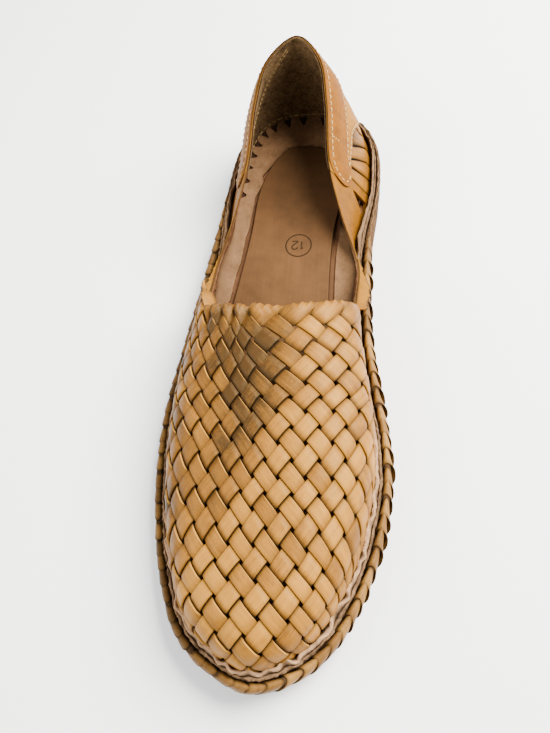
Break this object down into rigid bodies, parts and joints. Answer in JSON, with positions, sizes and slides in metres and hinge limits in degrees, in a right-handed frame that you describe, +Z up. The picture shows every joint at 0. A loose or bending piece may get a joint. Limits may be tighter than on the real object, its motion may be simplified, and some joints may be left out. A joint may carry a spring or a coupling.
{
  "type": "woven leather flat",
  "caption": "Right shoe: hand-woven leather slip-on flat with open waist straps, a high heel counter with a stitched collar band, and a laced sole edge.",
  "frame": {"origin": "on the floor, under the middle of the shoe's box in plan", "axes": "+Y towards the heel, so the toe is at -Y; +Z up; +X towards the inner side of this right shoe"},
  "size_m": [0.111, 0.3128, 0.0765],
  "materials": {
    "sole_leather": "rough, worn edge",
    "heel_leather": "rough, worn edge",
    "midsole_leather": "matt cut edge",
    "lacing_leather": "satin, burnished",
    "rand_suede": "rough suede",
    "insole_leather": "matt flesh side",
    "footbed_leather": "satin",
    "upper_leather": "satin, burnished strip ends",
    "band_leather": "satin with cream stitching"
  },
  "bodies": {
    "root": {"outsole": "sole_leather", "heel": "heel_leather", "midsole": "midsole_leather", "edge_lacing": "lacing_leather", "rand": "rand_suede", "insole": "insole_leather", "footbed": "footbed_leather", "upper": "upper_leather", "collar_band": "band_leather"}
  },
  "joints": []
}
